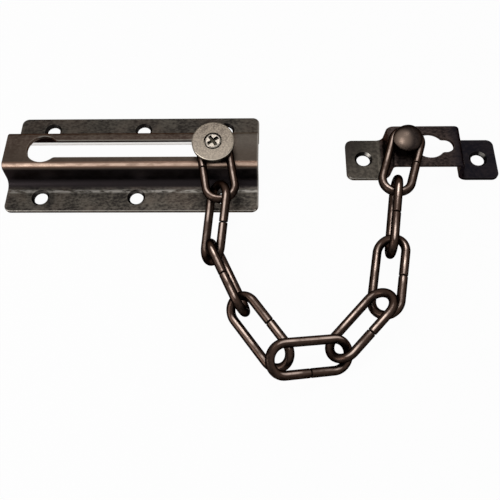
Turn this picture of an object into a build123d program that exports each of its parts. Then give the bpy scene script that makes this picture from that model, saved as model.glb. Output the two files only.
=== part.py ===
from build123d import *
from math import asin, cos, degrees, radians, sin, sqrt, tan
from typing import NamedTuple
import os

# Chain door guard, lying with both plates on one flat surface, in millimetres.
# The origin is the middle of the track plate's screw pattern on its back face.
# +X runs along the slot from the keyhole, +Z points out of the door.

# Stamped sheet, shared by the track plate and the anchor bracket
SHEET = 1.25
FOLD_RADIUS = 0.8  # inside of the folds along a raised top
CORNER_RADIUS = 2.2  # plan corners of the flanges
EDGE_BREAK = 0.25  # tumbled edges of the stampings

# Countersunk holes for the fixing screws
SCREW_HOLE = 4.3
COUNTERSINK = 5.7
COUNTERSINK_ANGLE = 90.0

# Track plate
TRACK_LENGTH = 80.0
TRACK_WIDTH = 36.0
CHANNEL_HEIGHT = 9.2  # back face to the top of the raised channel
CHANNEL_WIDTH = 13.2  # across the raised top, outside to outside
CHANNEL_LEAN = 8.0  # degrees that each web leans out from upright
CHANNEL_ROOT = 2.6  # radius of the hollow where a web meets its flange
HOLE_FROM_END = 11.0
HOLE_FROM_EDGE = 5.0
MIDDLE_HOLE_SHIFT = 1.5  # the middle pair sits a little towards the slot's closed end
SLOT_WIDTH = 6.5
SLOT_FROM_END = 8.0  # plate end to the closed end of the slot
KEYHOLE = 10.0
KEYHOLE_FROM_END = 7.1  # plate end to the edge of the keyhole
KEYHOLE_BLEND = 1.6

# Sliding stud, its face disc and the screw that joins them
SHANK = 5.0
REAR_FLANGE = 8.4
REAR_FLANGE_THICKNESS = 1.6
DISC = 13.0
DISC_THICKNESS = 1.4
DISC_BREAK = 0.4
COUNTERBORE = 5.6
COUNTERBORE_DEPTH = 0.9
STUD_SCREW = 3.0
STUD_SCREW_LENGTH = 5.0  # thread below the disc
SCREW_HEAD_GAP = 0.3  # round the head, in its counterbore
SCREW_HEAD_PROUD = 0.15
CROSS_LENGTH = 3.8
CROSS_WIDTH = 1.1
CROSS_DEPTH = 0.7
CROSS_TURN = 35.0  # degrees from the slot's direction
CROSS_TAPER = 8.0
SLIDER_FROM_SLOT_END = 2.45  # where the slider rests, before the slot's round end
SLIDER_LEAN = 8.0  # degrees that the chain tips the loose slider towards it

# Chain
WIRE = 2.6
LINK_INNER_LENGTH = 20.4
LINK_INNER_WIDTH = 6.0
SEAM = 0.15  # hairline gap between the butted wire ends
END_BREAK = 0.3  # rounded edge of each cut wire end
CHAIN_SLACK = 2.0  # how far each pair of links is from being pulled tight
FIRST_LINK_HANG = 0.56  # second link's upper bow below the first link
LAST_LINK_HANG = 1.33  # eighth link's upper bow below the ninth

# Anchor bracket and its rivet
BRACKET_LENGTH = 47.6
BRACKET_WIDTH = 14.8
BRIDGE_HEIGHT = 8.6
BRIDGE_WIDTH = 22.6
BRIDGE_LEAN = 5.0
BRIDGE_ROOT = 2.0  # radius of the hollow where a web meets its ear
BRACKET_HOLE_FROM_END = 5.6
RIVET_FROM_MIDDLE = 6.2  # towards the track
RIVET_SHANK = 4.6
RIVET_HEAD = 8.9
RIVET_DOME = 4.0
RIVET_RIM = 0.4  # upright edge below the dome
RIVET_TAIL = 5.3
RIVET_TAIL_THICKNESS = 1.2
PARKING_HOLE = 9.3  # takes the slider's rear flange when the chain is stowed
PARKING_LOBE = 5.3
PARKING_LOBE_REACH = 4.8
PARKING_FROM_RIVET = 7.4
PARKING_BLEND = 1.2

# Clearances
SLOT_GAP = 0.15  # shank to the slot's near edge, where the chain pulls it
FLANGE_GAP = 0.25  # rear flange to the sheet above it
LINK_GAP = 0.35  # wire to the face below it on a stud, and to the rivet's head
DISC_GAP = 0.2  # first link to the lowest edge of the leaning disc
STUD_GAP = 0.28  # first link's bow to the stud that it pulls on
THREAD_GAP = 0.05
FACE_GAP = 0.25  # lowest links to the surface that the guard lies on


class Lie(NamedTuple):
    """How a link lies. The seam leg is on the left, and a positive roll lifts it."""

    heading: float  # degrees from +X, in plan
    rise: float  # from the centre of its first bow to that of its second, in wire widths
    roll: float  # degrees about the link's length
    is_ring: bool  # the next link swings in this one's bow, or else this one swings in the next's


CLIMBS = None  # the rise follows from the height of the link that the upper bow hangs in
CLIMB_ROUNDS = 12  # repeats that settle such a rise
LIES = [
    Lie(-80.2, 0, 180, True),
    Lie(-96.6, CLIMBS, 51, True),
    Lie(-64.6, -0.3, 106.5, False),
    Lie(-52.6, -0.4, 40, False),
    Lie(11.4, -1.75, -151.5, True),
    Lie(46.2, 1.1, 147, False),
    Lie(80.6, 0.75, 151.5, True),
    Lie(82.6, CLIMBS, 91, False),
    Lie(73, 0, 180, True),
]

os.makedirs("parts", exist_ok=True)


def hat_profile(length, height, width, lean):
    """Underside of a folded hat section across its folds: flange, web, raised top, web, flange."""
    spread = SHEET / cos(radians(lean))
    root = width / 2 + height * tan(radians(lean)) - spread
    crest = width / 2 + SHEET * tan(radians(lean)) - spread
    top = height - SHEET
    return [(-length / 2, 0), (-root, 0), (-crest, top), (crest, top), (root, 0), (length / 2, 0)]


def fold_radii(root):
    """Bend radii along a hat section's underside, for a hollow of the given radius on its upper side."""
    return [root + SHEET, FOLD_RADIUS, FOLD_RADIUS, root + SHEET]


def keyhole_outline(x, hole, reach, width, blend):
    """A round hole at x that runs into a round-ended slot towards +X, with its two corners blended."""
    with BuildSketch() as outline:
        with Locations((x + reach / 2, 0)):
            SlotCenterToCenter(reach, width)
        with Locations((x, 0)):
            Circle(hole / 2)
        corners = outline.vertices().filter_by_position(Axis.X, x, x + reach, inclusive=(False, False))
        fillet(corners, blend)
    return outline.sketch


def cut_edges(stamping):
    """The edges all round a folded strip, where the press cut it: those of its upright walls."""
    walls = stamping.faces().filter_by(lambda face: round(face.normal_at().Z, 6) == 0)
    return walls.edges().filter_by(Axis.Z, reverse=True)


# Track plate: a hat-section strip with a keyhole slot in its raised top
slot_end_x = TRACK_LENGTH / 2 - SLOT_FROM_END - SLOT_WIDTH / 2
keyhole_x = -TRACK_LENGTH / 2 + KEYHOLE_FROM_END + KEYHOLE / 2
hole_x = TRACK_LENGTH / 2 - HOLE_FROM_END
hole_y = TRACK_WIDTH / 2 - HOLE_FROM_EDGE
cut_depth = SHEET + FOLD_RADIUS

with BuildPart() as track_plate:
    with BuildSketch(Plane.YZ):
        with BuildLine():
            FilletPolyline(*hat_profile(TRACK_WIDTH, CHANNEL_HEIGHT, CHANNEL_WIDTH, CHANNEL_LEAN),
                           radius=fold_radii(CHANNEL_ROOT))
            offset(amount=SHEET, side=Side.LEFT)
        make_face()
    extrude(amount=TRACK_LENGTH / 2, both=True)
    flange_corners = track_plate.edges().filter_by(Axis.Z)
    fillet(flange_corners, CORNER_RADIUS)
    fillet(cut_edges(track_plate), EDGE_BREAK)
    with BuildSketch(Plane.XY.offset(CHANNEL_HEIGHT)):
        add(keyhole_outline(keyhole_x, KEYHOLE, slot_end_x - keyhole_x, SLOT_WIDTH, KEYHOLE_BLEND))
    extrude(amount=-cut_depth, mode=Mode.SUBTRACT)
    with Locations(Plane.XY.offset(SHEET)):
        with GridLocations(2 * hole_x, 2 * hole_y, 2, 2):
            CounterSinkHole(SCREW_HOLE / 2, COUNTERSINK / 2, SHEET, COUNTERSINK_ANGLE)
        with Locations((MIDDLE_HOLE_SHIFT, -hole_y), (MIDDLE_HOLE_SHIFT, hole_y)):
            CounterSinkHole(SCREW_HOLE / 2, COUNTERSINK / 2, SHEET, COUNTERSINK_ANGLE)

track_plate.part.label = "track_plate"
export_step(track_plate.part, "parts/track_plate.step")

# Slider: it hangs against the near edge of the slot and leans, with the first link trapped under its disc.
# Its heights run along its leaning axis from the top of the channel.
tilt = radians(SLIDER_LEAN)
slider_x = slot_end_x - SLIDER_FROM_SLOT_END
slider_y = -((SLOT_WIDTH - SHANK / cos(tilt)) / 2 - SLOT_GAP)
slider_plane = Plane((slider_x, slider_y, CHANNEL_HEIGHT), x_dir=(1, 0, 0), z_dir=(0, -sin(tilt), cos(tilt)))
first_link_rise = LINK_GAP + WIRE / 2
flange_top = -(SHEET + FLANGE_GAP + REAR_FLANGE / 2 * sin(tilt)) / cos(tilt)
disc_bottom = (LINK_GAP + WIRE + DISC_GAP + DISC / 2 * sin(tilt)) / cos(tilt)
disc_top = disc_bottom + DISC_THICKNESS
head_seat = disc_top - COUNTERBORE_DEPTH

with BuildPart() as slider_stud:
    with BuildSketch(slider_plane.offset(flange_top - REAR_FLANGE_THICKNESS)):
        Circle(REAR_FLANGE / 2)
    extrude(amount=REAR_FLANGE_THICKNESS)
    with BuildSketch(slider_plane.offset(flange_top)):
        Circle(SHANK / 2)
    extrude(amount=disc_bottom - flange_top)
    with BuildSketch(slider_plane.offset(disc_bottom)):
        Circle(STUD_SCREW / 2 + THREAD_GAP)
    extrude(amount=-STUD_SCREW_LENGTH - 2 * THREAD_GAP, mode=Mode.SUBTRACT)

slider_stud.part.label = "slider_stud"
export_step(slider_stud.part, "parts/slider_stud.step")

with BuildPart() as slider_disc:
    with BuildSketch(slider_plane.offset(disc_bottom)):
        Circle(DISC / 2)
    extrude(amount=DISC_THICKNESS)
    rim = slider_disc.edges().sort_by(Axis.Z)[-1]
    fillet(rim, DISC_BREAK)
    with Locations(slider_plane.offset(disc_top)):
        CounterBoreHole(STUD_SCREW / 2 + 2 * THREAD_GAP, COUNTERBORE / 2, COUNTERBORE_DEPTH)

slider_disc.part.label = "slider_disc"
export_step(slider_disc.part, "parts/slider_disc.step")

head_height = COUNTERBORE_DEPTH + SCREW_HEAD_PROUD

with BuildPart() as slider_screw:
    with BuildSketch(slider_plane.offset(head_seat)):
        Circle(COUNTERBORE / 2 - SCREW_HEAD_GAP)
    extrude(amount=head_height)
    head_rim = slider_screw.edges().sort_by(Axis.Z)[-1]
    fillet(head_rim, head_height / 2)
    with BuildSketch(slider_plane.offset(head_seat + head_height)):
        Rectangle(CROSS_LENGTH, CROSS_WIDTH, rotation=CROSS_TURN)
        Rectangle(CROSS_WIDTH, CROSS_LENGTH, rotation=CROSS_TURN)
    extrude(amount=-CROSS_DEPTH, taper=CROSS_TAPER, mode=Mode.SUBTRACT)
    with BuildSketch(slider_plane.offset(head_seat)):
        Circle(STUD_SCREW / 2)
    extrude(amount=-(head_seat - disc_bottom) - STUD_SCREW_LENGTH)

slider_screw.part.label = "slider_screw"
export_step(slider_screw.part, "parts/slider_screw.step")

# Chain: each link is one bent wire, and lies on the surface apart from the two that loop round a stud
bow_radius = (LINK_INNER_WIDTH + WIRE) / 2
leg_length = LINK_INNER_LENGTH - LINK_INNER_WIDTH
reach = 2 * bow_radius - WIRE - CHAIN_SLACK
pull = (LINK_INNER_WIDTH - SHANK) / 2 - STUD_GAP
first_link_height = CHANNEL_HEIGHT + first_link_rise
last_link_height = BRIDGE_HEIGHT + LINK_GAP + WIRE / 2


def lying_height(roll, rise):
    """Height of the lower bow's centre when the wire below it is just clear of the surface."""
    upright = cos(radians(roll)) * cos(asin(rise / leg_length))
    return WIRE / 2 + FACE_GAP + bow_radius * sqrt(1 - upright ** 2)


def climb(roll, top):
    """Rise of a link that lies on the surface at one end, with its other bow's centre at a height."""
    rise = 0.0
    for _ in range(CLIMB_ROUNDS):
        rise = top - lying_height(roll, rise)
    return rise


def plan_vector(heading, length):
    """A vector in plan."""
    return Vector(length * cos(radians(heading)), length * sin(radians(heading)))


def wire_link(plane):
    """One link: X of the plane runs along it, and its seam is on the leg towards +Y."""
    half_leg = leg_length / 2
    with BuildPart() as link:
        with BuildLine(plane) as bend:
            seam_leg = Line((SEAM / 2, bow_radius), (half_leg, bow_radius))
            CenterArc((half_leg, 0), bow_radius, 90, -180)
            Line((half_leg, -bow_radius), (-half_leg, -bow_radius))
            CenterArc((-half_leg, 0), bow_radius, 270, -180)
            Line((-half_leg, bow_radius), (-SEAM / 2, bow_radius))
        with BuildSketch(Plane(origin=seam_leg @ 0, z_dir=seam_leg % 0)):
            Circle(WIRE / 2)
        sweep(path=bend.wires()[0])
        cut_ends = link.faces().filter_by(GeomType.PLANE)
        fillet(cut_ends.edges(), END_BREAK)
    return link.part


hook = Vector(slider_x, slider_y - first_link_rise * tan(tilt))  # the stud's axis at the first link's height
start = hook + plan_vector(LIES[0].heading, pull)
pivots = [hook]
link_planes = []
for index, lie in enumerate(LIES):
    is_first = index == 0
    is_last = index == len(LIES) - 1
    rise = 0.0
    if is_first:
        middle_height = first_link_height
    elif is_last:
        middle_height = last_link_height
    else:
        if lie.rise is not CLIMBS:
            rise = lie.rise * WIRE
        elif index == 1:
            rise = -climb(lie.roll, first_link_height - FIRST_LINK_HANG)
        else:
            rise = climb(lie.roll, last_link_height - LAST_LINK_HANG)
        middle_height = lying_height(lie.roll, rise) + abs(rise) / 2
    slope = degrees(asin(rise / leg_length))
    run = leg_length * cos(radians(slope))
    middle = start + plan_vector(lie.heading, run / 2) + Vector(0, 0, middle_height)
    link_planes.append(Plane(Location(middle, (lie.roll, -slope, lie.heading), Extrinsic.XYZ)))
    end = start + plan_vector(lie.heading, run)
    if is_last:
        pivots.append(end)
    elif lie.is_ring:
        start = end + plan_vector(LIES[index + 1].heading, reach)
        pivots.append(end)
    else:
        start = end + plan_vector(lie.heading, reach)
        pivots.append(start)

for index, link_plane in enumerate(link_planes):
    chain_link = wire_link(link_plane)
    chain_link.label = f"chain_link_{index + 1}"
    export_step(chain_link, f"parts/{chain_link.label}.step")

# Anchor bracket: a bridge between two ears, with a rivet for the chain and a pear-shaped parking hole
rivet = pivots[-1]
bracket_plane = Plane((rivet.X + RIVET_FROM_MIDDLE, rivet.Y, 0))
rivet_plane = Plane((rivet.X, rivet.Y, 0))
ear_hole_x = BRACKET_LENGTH / 2 - BRACKET_HOLE_FROM_END
parking_x = PARKING_FROM_RIVET - RIVET_FROM_MIDDLE
bracket_section = Plane(bracket_plane.origin, x_dir=(1, 0, 0), z_dir=(0, -1, 0))

with BuildPart() as anchor_bracket:
    with BuildSketch(bracket_section):
        with BuildLine():
            FilletPolyline(*hat_profile(BRACKET_LENGTH, BRIDGE_HEIGHT, BRIDGE_WIDTH, BRIDGE_LEAN),
                           radius=fold_radii(BRIDGE_ROOT))
            offset(amount=SHEET, side=Side.LEFT)
        make_face()
    extrude(amount=BRACKET_WIDTH / 2, both=True)
    ear_corners = anchor_bracket.edges().filter_by(Axis.Z)
    fillet(ear_corners, CORNER_RADIUS)
    fillet(cut_edges(anchor_bracket), EDGE_BREAK)
    with BuildSketch(bracket_plane.offset(BRIDGE_HEIGHT)):
        add(keyhole_outline(parking_x, PARKING_HOLE, PARKING_LOBE_REACH, PARKING_LOBE, PARKING_BLEND))
        with Locations((-RIVET_FROM_MIDDLE, 0)):
            Circle(RIVET_SHANK / 2 + THREAD_GAP)
    extrude(amount=-cut_depth, mode=Mode.SUBTRACT)
    with Locations(bracket_plane.offset(SHEET)):
        with Locations((-ear_hole_x, 0), (ear_hole_x, 0)):
            CounterSinkHole(SCREW_HOLE / 2, COUNTERSINK / 2, SHEET, COUNTERSINK_ANGLE)

anchor_bracket.part.label = "anchor_bracket"
export_step(anchor_bracket.part, "parts/anchor_bracket.step")

head_bottom = BRIDGE_HEIGHT + 2 * LINK_GAP + WIRE
tail_top = BRIDGE_HEIGHT - SHEET

with BuildPart() as anchor_rivet:
    with BuildSketch(Plane(rivet_plane.origin, x_dir=(1, 0, 0), z_dir=(0, -1, 0))):
        with BuildLine():
            Polyline((0, tail_top - RIVET_TAIL_THICKNESS),
                     (RIVET_TAIL / 2, tail_top - RIVET_TAIL_THICKNESS),
                     (RIVET_TAIL / 2, tail_top),
                     (RIVET_SHANK / 2, tail_top),
                     (RIVET_SHANK / 2, head_bottom),
                     (RIVET_HEAD / 2, head_bottom),
                     (RIVET_HEAD / 2, head_bottom + RIVET_RIM))
            TangentArc((0, head_bottom + RIVET_DOME), (RIVET_HEAD / 2, head_bottom + RIVET_RIM), tangent=(1, 0))
            Line((0, head_bottom + RIVET_DOME), (0, tail_top - RIVET_TAIL_THICKNESS))
        make_face()
    revolve(axis=Axis(rivet_plane.origin, (0, 0, 1)))

anchor_rivet.part.label = "anchor_rivet"
export_step(anchor_rivet.part, "parts/anchor_rivet.step")

print("slider", round(slider_x, 3), round(slider_y, 3), "keyhole", round(keyhole_x, 3))
for index, pivot in enumerate(pivots):
    print("pivot", index, round(pivot.X, 3), round(pivot.Y, 3))
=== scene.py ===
import math

import bpy
import numpy
from mathutils import Color, Matrix, Vector


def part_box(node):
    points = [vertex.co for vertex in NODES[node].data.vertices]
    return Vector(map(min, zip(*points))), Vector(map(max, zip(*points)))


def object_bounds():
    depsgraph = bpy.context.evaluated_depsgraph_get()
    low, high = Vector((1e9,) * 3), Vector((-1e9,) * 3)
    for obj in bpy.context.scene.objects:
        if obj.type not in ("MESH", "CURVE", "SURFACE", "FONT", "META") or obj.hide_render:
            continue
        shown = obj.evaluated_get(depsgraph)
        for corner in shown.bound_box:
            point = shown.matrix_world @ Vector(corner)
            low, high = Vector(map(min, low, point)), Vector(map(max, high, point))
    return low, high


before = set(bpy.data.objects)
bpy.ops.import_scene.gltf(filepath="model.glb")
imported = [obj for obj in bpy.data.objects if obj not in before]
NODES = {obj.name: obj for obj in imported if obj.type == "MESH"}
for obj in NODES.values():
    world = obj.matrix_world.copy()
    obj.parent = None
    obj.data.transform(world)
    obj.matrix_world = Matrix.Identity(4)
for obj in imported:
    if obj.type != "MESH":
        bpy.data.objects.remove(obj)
cad_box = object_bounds()

MM = 0.001

# Camera, as the photograph was taken: its place and angles in the frame, and its focal length in pixels of an
# image 500 pixels wide.
IMAGE_PX = 500
FOCAL_PX = 614.707
SENSOR_WIDTH = 36.0
NEAREST_SEEN = 10 * MM
CAMERA_AT = Vector((43.520, -114.151, 165.526)) * MM
CAMERA_DIP = math.radians(63.2615)
CAMERA_YAW = math.radians(4.0871)
CAMERA_ROLL = math.radians(-3.6271)


def add_camera():
    """The photograph's own view of the guard, which lies on a flat surface."""
    turn = Matrix.Rotation(CAMERA_YAW, 3, "Z")
    ahead = turn @ Vector((0, math.cos(CAMERA_DIP), -math.sin(CAMERA_DIP)))
    level_up = turn @ Vector((0, math.sin(CAMERA_DIP), math.cos(CAMERA_DIP)))
    level_right = turn @ Vector((1, 0, 0))
    right = math.cos(CAMERA_ROLL) * level_right + math.sin(CAMERA_ROLL) * level_up
    up = math.cos(CAMERA_ROLL) * level_up - math.sin(CAMERA_ROLL) * level_right
    lens = bpy.data.cameras.new("photo_camera")
    lens.sensor_width = SENSOR_WIDTH
    lens.lens = FOCAL_PX * SENSOR_WIDTH / IMAGE_PX
    lens.clip_start = NEAREST_SEEN
    camera = bpy.data.objects.new("photo_camera", lens)
    bpy.context.scene.collection.objects.link(camera)
    axes = Matrix((right, up, -ahead)).transposed()
    camera.matrix_world = Matrix.Translation(CAMERA_AT) @ axes.to_4x4()
    bpy.context.scene.camera = camera


add_camera()

# A Mix node's colour sockets by number, because its other sockets share their names.
MIX_COLOURS_IN = (6, 7)
MIX_COLOUR_OUT = 2


class Tree:
    """A material's or the world's nodes, with short names for the few kinds that are used here."""

    def __init__(self, owner):
        owner.use_nodes = True
        self.tree = owner.node_tree
        self.tree.nodes.clear()

    def add(self, kind, **settings):
        node = self.tree.nodes.new("ShaderNode" + kind)
        for name, value in settings.items():
            setattr(node, name, value)
        return node

    def feed(self, socket, value):
        """Puts a number, a colour or another node's output on a socket."""
        if isinstance(value, bpy.types.NodeSocket):
            self.tree.links.new(value, socket)
        else:
            socket.default_value = value

    def math(self, operation, first, second=0.0):
        node = self.add("Math", operation=operation)
        self.feed(node.inputs[0], first)
        self.feed(node.inputs[1], second)
        return node.outputs[0]

    def all_of(self, *shares):
        """The shares multiplied together."""
        product = shares[0]
        for share in shares[1:]:
            product = self.math("MULTIPLY", product, share)
        return product

    def step(self, value, start, full):
        """0 at start, 1 at full and smooth between them, whichever of the two is larger."""
        node = self.add("MapRange", interpolation_type="SMOOTHSTEP")
        self.feed(node.inputs["Value"], value)
        ends = (start, full, 0.0, 1.0) if start < full else (full, start, 1.0, 0.0)
        for name, number in zip(("From Min", "From Max", "To Min", "To Max"), ends):
            node.inputs[name].default_value = number
        return node.outputs["Result"]

    def spread(self, share, low, high):
        """A share, 0 to 1, spread evenly from low to high."""
        node = self.add("MapRange")
        self.feed(node.inputs["Value"], share)
        node.inputs["To Min"].default_value = low
        node.inputs["To Max"].default_value = high
        return node.outputs["Result"]

    def mix(self, share, first, second):
        """The first colour where the share is 0, and the second where it is 1."""
        node = self.add("Mix", data_type="RGBA")
        self.feed(node.inputs["Factor"], share)
        for socket, colour in zip(MIX_COLOURS_IN, (first, second)):
            self.feed(node.inputs[socket], colour)
        return node.outputs[MIX_COLOUR_OUT]

    def dot(self, first, second):
        node = self.add("VectorMath", operation="DOT_PRODUCT")
        self.feed(node.inputs[0], first)
        self.feed(node.inputs[1], second)
        return node.outputs["Value"]

    def noise(self, place, per_mm, detail=3.0, roughness=0.55):
        node = self.add("TexNoise")
        self.feed(node.inputs["Vector"], place)
        node.inputs["Scale"].default_value = per_mm
        node.inputs["Detail"].default_value = detail
        node.inputs["Roughness"].default_value = roughness
        return node.outputs["Fac"]


FULL_LEVEL = 255


def tone(*levels):
    """A colour's red, green and blue on screen, 0 to 255, as the linear colour that a shader takes."""
    on_screen = Color([level / FULL_LEVEL for level in levels])
    return (*on_screen.from_srgb_to_scene_linear(), 1.0)


# Pairs of numbers, from here on, say where an effect starts and where it is full. They are lengths in
# millimetres, shares from 0 to 1, or cosines of the angle from a face's normal to a direction.
CLOUD_SHARE = 0.4  # of the broad patches in a mottled finish, where the rest is grain
MOTTLE = (0.36, 0.64)
EDGE_TURN = (0.01, 0.16)
EDGE_OPEN = (0.45, 0.85)
GLOSS_PER_MM = 0.5
GLOSS = (0.3, 0.7)
BEVEL_SAMPLES = 6
EDGE_SAMPLES = 4
HOLLOW_SAMPLES = 6


class Metal(Tree):
    """A metal finish, laid out in millimetres: mottled tones, worn edges, uneven gloss and a fine grain."""

    def __init__(self, name, edge_tint):
        self.material = bpy.data.materials.new(name)
        super().__init__(self.material)
        self.shader = self.add("BsdfPrincipled")
        self.shader.inputs["Metallic"].default_value = 1.0
        self.shader.inputs["Specular Tint"].default_value = tone(*edge_tint)
        output = self.add("OutputMaterial")
        self.feed(output.inputs["Surface"], self.shader.outputs["BSDF"])
        where = self.add("TexCoord")
        scale = self.add("VectorMath", operation="SCALE")
        self.feed(scale.inputs[0], where.outputs["Object"])
        scale.inputs["Scale"].default_value = 1 / MM
        self.place = scale.outputs["Vector"]
        parts = self.add("SeparateXYZ")
        self.feed(parts.inputs["Vector"], self.place)
        self.x, self.y, self.z = parts.outputs
        self.normal = where.outputs["Normal"]
        self.front = self.dot(self.normal, (0.0, -1.0, 0.0))
        self.up = self.dot(self.normal, (0.0, 0.0, 1.0))

    def drawn_out(self, streak):
        """The place with X drawn out, so that a noise read there makes streaks along X."""
        drawn = self.add("VectorMath", operation="MULTIPLY")
        self.feed(drawn.inputs[0], self.place)
        drawn.inputs[1].default_value = (1 / streak, 1.0, 1.0)
        return drawn.outputs["Vector"]

    def mottle(self, dark, light, patch_per_mm, grain_per_mm, streak=1.0):
        """Patches with a fine grain over them, between two tones. A streak draws the grain out along X."""
        cloud = self.noise(self.place, patch_per_mm, detail=4.0)
        grain = self.noise(self.drawn_out(streak), grain_per_mm, roughness=0.7)
        cloud_part = self.math("MULTIPLY", cloud, CLOUD_SHARE)
        grain_part = self.math("MULTIPLY", grain, 1 - CLOUD_SHARE)
        blend = self.math("ADD", cloud_part, grain_part)
        self.colour = self.mix(self.step(blend, *MOTTLE), tone(*dark), tone(*light))

    def paint(self, colour, *shares, strength=1.0):
        """Lays another tone over what is there, as far as the shares times the strength say."""
        self.colour = self.mix(self.all_of(*shares, strength), self.colour, tone(*colour))

    def openness(self, reach, samples, only_own=True):
        """How open the space round a point is, 0 to 1, counting its own piece alone or every piece."""
        node = self.add("AmbientOcclusion", samples=samples, only_local=only_own)
        node.inputs["Distance"].default_value = reach * MM
        return node.outputs["AO"]

    def hollows(self, reach, only_own=True):
        """How deep in a hollow a point is, 0 to 1."""
        return self.math("SUBTRACT", 1.0, self.openness(reach, HOLLOW_SAMPLES, only_own))

    def edges(self, radius):
        """How near an outward edge a point is, 0 to 1, by how far a rounded edge would turn its normal."""
        rounded = self.add("Bevel", samples=BEVEL_SAMPLES)
        rounded.inputs["Radius"].default_value = radius * MM
        flat = self.add("NewGeometry")
        turn = self.math("SUBTRACT", 1.0, self.dot(rounded.outputs["Normal"], flat.outputs["Normal"]))
        is_outward = self.step(self.openness(radius, EDGE_SAMPLES), *EDGE_OPEN)
        return self.all_of(self.step(turn, *EDGE_TURN), is_outward)

    def finish(self, smooth, rough, grain_per_mm, grain_depth):
        """Links the colour, an uneven gloss and the grain, and gives back the material."""
        self.feed(self.shader.inputs["Base Color"], self.colour)
        gloss = self.step(self.noise(self.place, GLOSS_PER_MM, detail=5.0), *GLOSS)
        self.feed(self.shader.inputs["Roughness"], self.spread(gloss, smooth, rough))
        bump = self.add("Bump")
        bump.inputs["Strength"].default_value = 1.0
        bump.inputs["Distance"].default_value = grain_depth * MM
        self.feed(bump.inputs["Height"], self.noise(self.place, grain_per_mm, detail=4.0))
        self.feed(self.shader.inputs["Normal"], bump.outputs["Normal"])
        return self.material


# Tones that several pieces share
# Painted shade: near black laid where shade falls, in hollows, holes, seams and gaps, and between parts
PAINTED_SHADE = (15, 13, 14)
WORN_GREY = (136, 129, 121)

# Tones of the two stamped sheets
SHEET_TINT = (160, 150, 143)
SHEET_DARK = (36, 33, 31)
SHEET_LIGHT = (83, 78, 71)
SHEET_RED = (80, 62, 53)
# Painted shade on the near web and in the hollow at its foot
WEB_SHADE = (33, 29, 30)
WEB_TOP = (64, 55, 48)
# Painted near-white light where the far web's foot shows through the slot
PAINTED_SLOT_LIGHT = (252, 251, 249)
TOP_GREY = (88, 85, 79)
# Copper rubbed bare with a painted highlight along the near fold, and a brown painted sheen beside it
COPPER_WEAR_AND_HIGHLIGHT = (192, 166, 148)
BROWN_WEAR_AND_SHEEN = (107, 83, 70)
# Painted highlight on edges: the line at the near web's foot, the slot's rim, the right end, the front rim
# and the lit side of the countersinks in the ears
EDGE_HIGHLIGHT = (159, 154, 147)
BRIDGE_DARK = (27, 23, 23)
BRIDGE_LIGHT = (71, 60, 56)
EAR_GREY = (30, 31, 29)
# Painted light on the left ear, stronger towards the bridge and the front
LEFT_EAR_SHEEN = (87, 81, 73)
# Painted shade over the right ear
RIGHT_EAR_SHADE = (22, 22, 28)

# Heights on the sheets
ON_FLANGE = (1.6, 1.5)
ABOVE_FLANGE = (1.5, 1.6)
SLOT_LIGHT_FOOT = (4.4, 3.9)
BELOW_RAISED = (5.0, 4.0)
RAISED = (4.5, 5.5)
BELOW_TOP_SHEET = (7.9, 7.8)
TOP_SHEET = (7.9, 8.0)
SLOT_RIM = (8.6, 8.8)

# Distances from the edges of a sheet
HOLE_FROM_EDGE = (1.0, 1.4)
RIM_FROM_FRONT = (0.7, 0.5)
HOLLOW_FROM_FRONT = (7.5, 9.3)
ROOT_LINE_FROM_FRONT = 7.2
OFF_ROOT_LINE = (1.0, 0.0)
GREY_FROM_RIGHT = (9.0, 6.0)
EDGE_FROM_RIGHT = (0.6, 0.2)
SLOT_LIGHT_FROM_ENDS = (3.0, 6.0)
EAR_LENGTH = 13.0
LEFT_EAR_FADE = 1.0
RIGHT_EAR_FADE = 6.0

# Places across the track plate, from its middle line
NEAR_SIDE = (3.5, -3.5)
FAR_SLOT_WALL = (0.0, 1.0)
FAR_WEB_FROM = (3.0, 3.5)
FAR_WEB_TO = (9.0, 8.8)
FAR_FLANGE = (9.0, 10.0)

# Ways that faces look
STEEP = (0.88, 0.78)
RIM_FROM_TOP = (0.2, 0.45)
RIM_TO_CUT_EDGE = (0.97, 0.85)
CUT_EDGE = (0.4, 0.9)
NEAR_WEB = (0.75, 0.97)
FAR_WEB = (0.4, 0.6)
SLOT_WALL = (0.85, 0.95)
FOLD_HIGHLIGHT_LEAN = math.radians(32)  # from upright, of the normal on the near fold where its painted highlight is brightest
TOP_FACING = (0.66, 0.8)
BROWN_FACING = (0.84, 0.96)
COPPER_FACING = (0.95, 0.998)
GLEAM_SIDE = Vector((-0.45, -0.54, 0.71))  # the bright side of the countersinks in the ears
GLEAM_FACING = (0.93, 0.99)

# Painted shade in hollows, and patches and streaks in the finish and in the painted highlights of the sheets
SHEET_HOLLOW_REACH = 1.6
SHEET_HOLLOW = (0.08, 0.3)
SHEET_EDGE_RADIUS = 0.4
BLOOM_PER_MM = 0.09
BLOOM = (0.42, 0.66)
WEAR_STREAK = 3.0
COPPER_WEAR_PER_MM = 0.7
COPPER_WEAR = (0.3, 0.65)
ROOT_SPECKS_PER_MM = 1.2
ROOT_SPECKS = (0.36, 0.6)
EAR_PATCHES_PER_MM = 0.9
EAR_PATCHES = (0.35, 0.65)
SHEET_FINISH = {"smooth": 0.3, "rough": 0.45, "grain_per_mm": 3.0, "grain_depth": 0.03}


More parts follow.
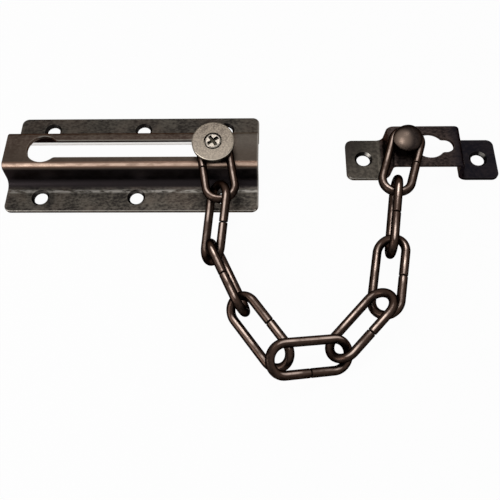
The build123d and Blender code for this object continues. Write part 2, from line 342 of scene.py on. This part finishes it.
class SheetMetal(Metal):
    """The finish of a stamped sheet that lies on a surface, with the sheet's box in millimetres."""

    def __init__(self, name, box, dark, light):
        super().__init__(name, SHEET_TINT)
        self.low, self.high = (corner / MM for corner in box)
        self.on_flange = self.step(self.z, *ON_FLANGE)
        self.mottle(dark, light, patch_per_mm=0.18, grain_per_mm=1.4, streak=1.6)
        # Painted shade in the sheet's hollows, corners and countersinks
        self.paint(PAINTED_SHADE, self.step(self.hollows(SHEET_HOLLOW_REACH), *SHEET_HOLLOW), strength=0.75)

    def from_front(self, start, full):
        return self.step(self.y, self.low.y + start, self.low.y + full)

    def from_left(self, start, full):
        return self.step(self.x, self.low.x + start, self.low.x + full)

    def from_right(self, start, full):
        return self.step(self.x, self.high.x - start, self.high.x - full)

    def in_holes(self):
        """1 on the walls of the screw holes in the flanges, and 0 elsewhere."""
        start, full = HOLE_FROM_EDGE
        middle = (self.low + self.high) / 2
        half = (self.high - self.low) / 2
        off_edges = []
        for along, centre, reach in ((self.x, middle.x, half.x), (self.y, middle.y, half.y)):
            offset = self.math("ABSOLUTE", self.math("SUBTRACT", along, centre))
            off_edges.append(self.step(offset, reach - start, reach - full))
        steep = self.step(self.math("ABSOLUTE", self.up), *STEEP)
        return self.all_of(steep, self.on_flange, *off_edges)

    def front_rim(self):
        """The rounded upper rim of the cut edge at the front, 0 to 1."""
        from_top = self.step(self.front, *RIM_FROM_TOP)
        to_cut_edge = self.step(self.front, *RIM_TO_CUT_EDGE)
        return self.all_of(from_top, to_cut_edge, self.from_front(*RIM_FROM_FRONT))


def paint_webs(metal, near):
    """Painted shade on the near web and in the hollow at its foot, and painted near-white light at the foot
    of the far web behind the slot, where it shows through.
    """
    # Painted shade in the hollow at the near web's foot and on the near web
    hollow = metal.from_front(*HOLLOW_FROM_FRONT)
    metal.paint(WEB_SHADE, hollow, metal.step(metal.z, *BELOW_RAISED), near)
    above_flange = metal.step(metal.z, *ABOVE_FLANGE)
    below_top = metal.step(metal.z, *BELOW_TOP_SHEET)
    metal.paint(WEB_SHADE, metal.step(metal.front, *NEAR_WEB), above_flange, below_top, strength=0.95)

    # Painted near-white light on the far web's foot, seen through the slot
    start, full = SLOT_LIGHT_FROM_ENDS
    behind_slot = metal.step(metal.math("ABSOLUTE", metal.x), metal.high.x - start, metal.high.x - full)
    far_web = metal.all_of(metal.step(metal.y, *FAR_WEB_FROM), metal.step(metal.y, *FAR_WEB_TO))
    foot = metal.step(metal.z, *SLOT_LIGHT_FOOT)
    metal.paint(PAINTED_SLOT_LIGHT, far_web, metal.step(metal.front, *FAR_WEB), behind_slot, foot)


def paint_near_fold(metal, near, raised):
    """A painted highlight along the near fold, copper where rubbed bare and broken into a line, with a brown
    painted sheen beside it, over a brown-grey tone on the near half of the top and the fold.
    """
    facing = metal.dot(metal.normal, (0.0, -math.sin(FOLD_HIGHLIGHT_LEAN), math.cos(FOLD_HIGHLIGHT_LEAN)))
    # Painted highlight and sheen along the near fold, broken up like wear
    metal.paint(WEB_TOP, metal.step(facing, *TOP_FACING), raised, near, strength=0.7)
    metal.paint(BROWN_WEAR_AND_SHEEN, metal.step(facing, *BROWN_FACING), raised, strength=0.75)
    highlight_breaks = metal.noise(metal.drawn_out(WEAR_STREAK), COPPER_WEAR_PER_MM, detail=5.0)
    broken = metal.spread(metal.step(highlight_breaks, *COPPER_WEAR), low=0.3, high=0.95)
    metal.paint(COPPER_WEAR_AND_HIGHLIGHT, metal.step(facing, *COPPER_FACING), raised, broken)


def paint_track_edges(metal):
    """A painted highlight line at the foot of the near web, worn edges, painted shade in the holes and on the
    slot's far wall, and painted highlights on the slot's rim, the right end and the front rim.
    """
    # Painted highlight in a broken line at the near web's foot
    off_line = metal.math("SUBTRACT", metal.y, metal.low.y + ROOT_LINE_FROM_FRONT)
    line = metal.step(metal.math("ABSOLUTE", off_line), *OFF_ROOT_LINE)
    specks = metal.noise(metal.drawn_out(WEAR_STREAK), ROOT_SPECKS_PER_MM, detail=4.0)
    metal.paint(EDGE_HIGHLIGHT, line, metal.step(specks, *ROOT_SPECKS), strength=0.85)
    metal.paint(WORN_GREY, metal.edges(SHEET_EDGE_RADIUS), strength=0.45)
    # Painted shade in the screw holes
    metal.paint(PAINTED_SHADE, metal.in_holes(), strength=0.85)
    # Painted shade on the slot's far wall, with a painted highlight along its top rim
    slot_wall = metal.all_of(metal.step(metal.front, *SLOT_WALL), metal.step(metal.y, *FAR_SLOT_WALL))
    metal.paint(PAINTED_SHADE, slot_wall, metal.step(metal.z, *TOP_SHEET), strength=0.7)
    metal.paint(EDGE_HIGHLIGHT, slot_wall, metal.step(metal.z, *SLOT_RIM), strength=0.6)
    # Painted highlights along the right end and the front rim
    metal.paint(EDGE_HIGHLIGHT, metal.from_right(*EDGE_FROM_RIGHT), strength=0.45)
    metal.paint(EDGE_HIGHLIGHT, metal.front_rim(), strength=0.8)


def track_metal():
    metal = SheetMetal("track_sheet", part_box("track_plate"), SHEET_DARK, SHEET_LIGHT)
    raised = metal.step(metal.z, *RAISED)
    near = metal.step(metal.y, *NEAR_SIDE)
    metal.paint(SHEET_RED, metal.step(metal.noise(metal.place, BLOOM_PER_MM), *BLOOM), strength=0.2)
    metal.paint(SHEET_RED, raised, strength=0.35)
    metal.paint(TOP_GREY, raised, metal.from_right(*GREY_FROM_RIGHT), strength=0.5)
    metal.paint(SHEET_DARK, metal.step(metal.y, *FAR_FLANGE), strength=0.25)
    paint_webs(metal, near)
    paint_near_fold(metal, near, raised)
    paint_track_edges(metal)
    return metal.finish(**SHEET_FINISH)


def bracket_metal():
    """A dark bridge; a left ear with painted light, stronger towards the bridge and the front; and a right
    ear nearly black under painted shade. Painted shade in the holes and on the right ear's front cut edges,
    and painted highlights on the holes' lit side and the left ear's front rim.
    """
    metal = SheetMetal("bracket_sheet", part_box("anchor_bracket"), BRIDGE_DARK, BRIDGE_LIGHT)
    on_left = metal.from_left(EAR_LENGTH + LEFT_EAR_FADE, EAR_LENGTH)
    on_right = metal.from_right(EAR_LENGTH + RIGHT_EAR_FADE, EAR_LENGTH)
    left_ear = metal.all_of(metal.on_flange, on_left)
    towards_bridge = metal.from_left(0.0, EAR_LENGTH)
    towards_front = metal.step(metal.y, metal.high.y, metal.low.y)
    left_ear_light = metal.math("ADD", towards_bridge, towards_front)
    patches = metal.step(metal.noise(metal.place, EAR_PATCHES_PER_MM, detail=4.0), *EAR_PATCHES)
    metal.paint(EAR_GREY, left_ear, strength=0.7)
    # Painted light on the left ear, uneven in patches, and painted shade over the right ear
    metal.paint(LEFT_EAR_SHEEN, left_ear, left_ear_light, metal.spread(patches, low=0.55, high=1.4), strength=0.48)
    metal.paint(RIGHT_EAR_SHADE, on_right, strength=0.8)

    metal.paint(WORN_GREY, metal.edges(SHEET_EDGE_RADIUS), strength=0.15)
    holes = metal.in_holes()
    gleam = metal.step(metal.dot(metal.normal, GLEAM_SIDE), *GLEAM_FACING)
    # Painted shade in the holes, and a painted highlight on their lit side
    metal.paint(PAINTED_SHADE, holes, strength=0.85)
    metal.paint(EDGE_HIGHLIGHT, holes, gleam, strength=0.55)
    # Painted highlight on the left ear's front rim, and painted shade on the right ear's front cut edges
    metal.paint(EDGE_HIGHLIGHT, metal.front_rim(), left_ear, strength=0.6)
    metal.paint(PAINTED_SHADE, metal.step(metal.front, *CUT_EDGE), metal.on_flange, on_right, strength=0.7)
    return metal.finish(**SHEET_FINISH)


# The chain's wire: painted shade in its seam and where it nears other links or the floor, and a painted
# highlight with a broader painted sheen along its upper side
WIRE_TINT = (100, 84, 76)
WIRE_DARK = (20, 15, 12)
WIRE_LIGHT = (46, 36, 31)
WIRE_SHEEN = (78, 60, 51)
WIRE_HIGHLIGHT = (208, 186, 173)
WIRE_HIGHLIGHT_SIDE = Vector((-0.1, 0.0, 0.99))
WIRE_SHEEN_FACING = (0.7, 0.97)
WIRE_HIGHLIGHT_FACING = (0.955, 0.998)
WIRE_HIGHLIGHT_BREAKS_PER_MM = 0.15
WIRE_HIGHLIGHT_BREAKS = (0.38, 0.62)
SEAM_REACH = 0.5
SEAM = (0.3, 0.6)
BETWEEN_LINKS_REACH = 1.5
BETWEEN_LINKS = (0.3, 0.7)


def long_axis(node):
    """The direction along a link's legs."""
    corners = numpy.array([vertex.co for vertex in NODES[node].data.vertices])
    _, _, directions = numpy.linalg.svd(corners - corners.mean(axis=0), full_matrices=False)
    return Vector(directions[0])


def wire_metal(node):
    """Each link has its own, because the side with its painted highlight is turned square to its legs, which
    slope.
    """
    metal = Metal(node + "_wire", WIRE_TINT)
    metal.mottle(WIRE_DARK, WIRE_LIGHT, patch_per_mm=0.25, grain_per_mm=1.6)
    axis = long_axis(node)
    side = (WIRE_HIGHLIGHT_SIDE - axis * WIRE_HIGHLIGHT_SIDE.dot(axis)).normalized()
    facing = metal.dot(metal.normal, side)
    highlight_breaks = metal.step(metal.noise(metal.place, WIRE_HIGHLIGHT_BREAKS_PER_MM, detail=4.0), *WIRE_HIGHLIGHT_BREAKS)
    between_links = metal.hollows(BETWEEN_LINKS_REACH, only_own=False)
    # Painted sheen and a painted highlight, broken up, along the wire's upper side
    metal.paint(WIRE_SHEEN, metal.step(facing, *WIRE_SHEEN_FACING), strength=0.5)
    metal.paint(WIRE_HIGHLIGHT, metal.step(facing, *WIRE_HIGHLIGHT_FACING), metal.spread(highlight_breaks, low=0.1, high=0.9))
    # Painted shade in the seam, and where the wire nears other links or the floor
    metal.paint(PAINTED_SHADE, metal.step(metal.hollows(SEAM_REACH), *SEAM), strength=0.9)
    metal.paint(PAINTED_SHADE, metal.step(between_links, *BETWEEN_LINKS), strength=0.85)
    return metal.finish(smooth=0.3, rough=0.42, grain_per_mm=3.0, grain_depth=0.02)


# The leaning slider: its disc, screw and stud
SLIDER_LEAN = math.radians(8)
SLIDER_AXIS = Vector((0, -math.sin(SLIDER_LEAN), math.cos(SLIDER_LEAN)))
DISC_TINT = (190, 185, 175)
DISC_DARK = (70, 63, 57)
DISC_LIGHT = (129, 119, 107)
DISC_RIM_HIGHLIGHT = (199, 188, 172)
DISC_RIM_FROM_FACE = (0.99, 0.93)
DISC_RIM_TO_SIDE = (0.25, 0.5)
DISC_FRONT = (0.25, 0.6)
DISC_SIDE = (0.35, 0.15)
TURNED_TINT = (130, 120, 110)
SCREW_DARK = (116, 109, 100)
SCREW_LIGHT = (160, 152, 142)
RECESS_SHADE = (40, 37, 31)
RECESS_DEPTH = (0.12, 0.3)
SCREW_HOLLOW_REACH = 0.5
SCREW_HOLLOW = (0.25, 0.5)
STUD_DARK = (42, 36, 33)
STUD_LIGHT = (72, 62, 54)
STUD_HOLLOW_REACH = 1.6
STUD_HOLLOW = (0.12, 0.4)
STUD_EDGE_RADIUS = 0.25


def disc_metal():
    """A speckled face, lighter towards the front, with a painted highlight on its rim there and painted shade
    on its side below it.
    """
    metal = Metal("slider_face", DISC_TINT)
    metal.mottle(DISC_DARK, DISC_LIGHT, patch_per_mm=0.5, grain_per_mm=2.2)
    low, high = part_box("slider_disc")
    metal.paint(DISC_RIM_HIGHLIGHT, metal.step(metal.y, high.y / MM, low.y / MM), strength=0.13)
    level = metal.dot(metal.normal, SLIDER_AXIS)
    rim = metal.all_of(metal.step(level, *DISC_RIM_FROM_FACE), metal.step(level, *DISC_RIM_TO_SIDE))
    # Painted highlight on the front of the rim, and painted shade on the side
    metal.paint(DISC_RIM_HIGHLIGHT, rim, metal.step(metal.front, *DISC_FRONT), strength=0.85)
    metal.paint(PAINTED_SHADE, metal.step(level, *DISC_SIDE), strength=0.8)
    return metal.finish(smooth=0.36, rough=0.48, grain_per_mm=5.0, grain_depth=0.02)


def screw_metal():
    """A bright head, with painted shade in its recess from just below the head's top, and in its hollows."""
    metal = Metal("slider_screw", TURNED_TINT)
    metal.mottle(SCREW_DARK, SCREW_LIGHT, patch_per_mm=0.5, grain_per_mm=2.2)
    top = max(vertex.co.dot(SLIDER_AXIS) for vertex in NODES["slider_screw"].data.vertices) / MM
    depth = metal.math("SUBTRACT", top, metal.dot(metal.place, SLIDER_AXIS))
    # Painted shade in the recess and round the head
    metal.paint(RECESS_SHADE, metal.step(depth, *RECESS_DEPTH))
    metal.paint(PAINTED_SHADE, metal.step(metal.hollows(SCREW_HOLLOW_REACH), *SCREW_HOLLOW), strength=0.9)
    return metal.finish(smooth=0.26, rough=0.38, grain_per_mm=4.0, grain_depth=0.015)


def stud_metal():
    metal = Metal("slider_stud", TURNED_TINT)
    metal.mottle(STUD_DARK, STUD_LIGHT, patch_per_mm=0.5, grain_per_mm=3.0)
    # Painted shade in the stud's hollows
    metal.paint(PAINTED_SHADE, metal.step(metal.hollows(STUD_HOLLOW_REACH), *STUD_HOLLOW), strength=0.95)
    metal.paint(WORN_GREY, metal.edges(STUD_EDGE_RADIUS), strength=0.4)
    return metal.finish(smooth=0.3, rough=0.42, grain_per_mm=4.0, grain_depth=0.015)


# The rivet, with a painted highlight on one side of its dome
DOME_DARK = (34, 29, 28)
DOME_LIGHT = (56, 48, 44)
DOME_HIGHLIGHT = (116, 101, 91)
DOME_HIGHLIGHT_SIDE = Vector((-0.62, -0.5, 0.7)).normalized()
DOME_HIGHLIGHT_FACING = (0.62, 0.99)


def dome_metal():
    metal = Metal("rivet_dome", TURNED_TINT)
    metal.mottle(DOME_DARK, DOME_LIGHT, patch_per_mm=0.3, grain_per_mm=2.0)
    # Painted highlight on one side of the dome
    metal.paint(DOME_HIGHLIGHT, metal.step(metal.dot(metal.normal, DOME_HIGHLIGHT_SIDE), *DOME_HIGHLIGHT_FACING), strength=0.9)
    return metal.finish(smooth=0.38, rough=0.5, grain_per_mm=4.0, grain_depth=0.02)


def dress(node, material):
    mesh = NODES[node].data
    mesh.materials.clear()
    mesh.materials.append(material)


dress("track_plate", track_metal())
dress("anchor_bracket", bracket_metal())
for node in NODES:
    if node.startswith("chain_link"):
        dress(node, wire_metal(node))
dress("slider_disc", disc_metal())
dress("slider_screw", screw_metal())
dress("slider_stud", stud_metal())
dress("anchor_rivet", dome_metal())

# The stage: a white floor and a white surround, which light the part less than they show
FLOOR_SIZE = 8.0
FLOOR_CLEAR = 0.05 * MM
FLOOR_WHITE = (0.82, 0.82, 0.82, 1.0)
FLOOR_GLOW = 0.965
WORLD_WHITE = (1.0, 1.0, 1.0, 1.0)
WORLD_FILL = 0.28


def seen_directly(tree):
    """1 for what the camera sees, straight or in metal or glass, and 0 for light that falls on a surface."""
    path = tree.add("LightPath")
    shown = tree.math("MAXIMUM", path.outputs["Is Camera Ray"], path.outputs["Is Glossy Ray"])
    return tree.math("MAXIMUM", shown, path.outputs["Is Transmission Ray"])


def add_floor():
    """White paper just below the part. A little of it is lit paper, which keeps the part's shadow."""
    half = FLOOR_SIZE / 2
    height = cad_box[0][2] - FLOOR_CLEAR
    mesh = bpy.data.meshes.new("floor")
    corners = [(-half, -half, height), (half, -half, height), (half, half, height), (-half, half, height)]
    mesh.from_pydata(corners, [], [(0, 1, 2, 3)])
    floor = bpy.data.objects.new("floor", mesh)
    bpy.context.scene.collection.objects.link(floor)
    material = bpy.data.materials.new("floor")
    tree = Tree(material)
    paper = tree.add("BsdfDiffuse")
    paper.inputs["Color"].default_value = FLOOR_WHITE
    glow = tree.add("Emission")
    mixed = tree.add("MixShader")
    tree.feed(mixed.inputs["Fac"], tree.math("MULTIPLY", seen_directly(tree), FLOOR_GLOW))
    tree.feed(mixed.inputs[1], paper.outputs["BSDF"])
    tree.feed(mixed.inputs[2], glow.outputs["Emission"])
    tree.feed(tree.add("OutputMaterial").inputs["Surface"], mixed.outputs["Shader"])
    mesh.materials.append(material)


def add_world():
    world = bpy.data.worlds.new("studio")
    bpy.context.scene.world = world
    tree = Tree(world)
    sky = tree.add("Background")
    sky.inputs["Color"].default_value = WORLD_WHITE
    tree.feed(sky.inputs["Strength"], tree.spread(seen_directly(tree), low=WORLD_FILL, high=1.0))
    tree.feed(tree.add("OutputWorld").inputs["Surface"], sky.outputs["Background"])


def softbox(name, at, aim, size, brightness):
    """A square lamp, in millimetres, aimed at a point, with its face's brightness, where 1 is white."""
    lamp = bpy.data.lights.new(name, "AREA")
    lamp.size = size * MM
    lamp.energy = brightness * math.pi * lamp.size ** 2
    box = bpy.data.objects.new(name, lamp)
    box.location = Vector(at) * MM
    box.rotation_euler = (Vector(aim) - Vector(at)).to_track_quat("-Z", "Y").to_euler()
    box.visible_camera = False
    bpy.context.scene.collection.objects.link(box)


add_floor()
add_world()
softbox("key_softbox", at=(8, 104, 400), aim=(50, -35, 5), size=110, brightness=7)
softbox("left_softbox", at=(-315, -220, 210), aim=(60, -10, 5), size=200, brightness=8)

bpy.context.scene.view_settings.view_transform = "Standard"
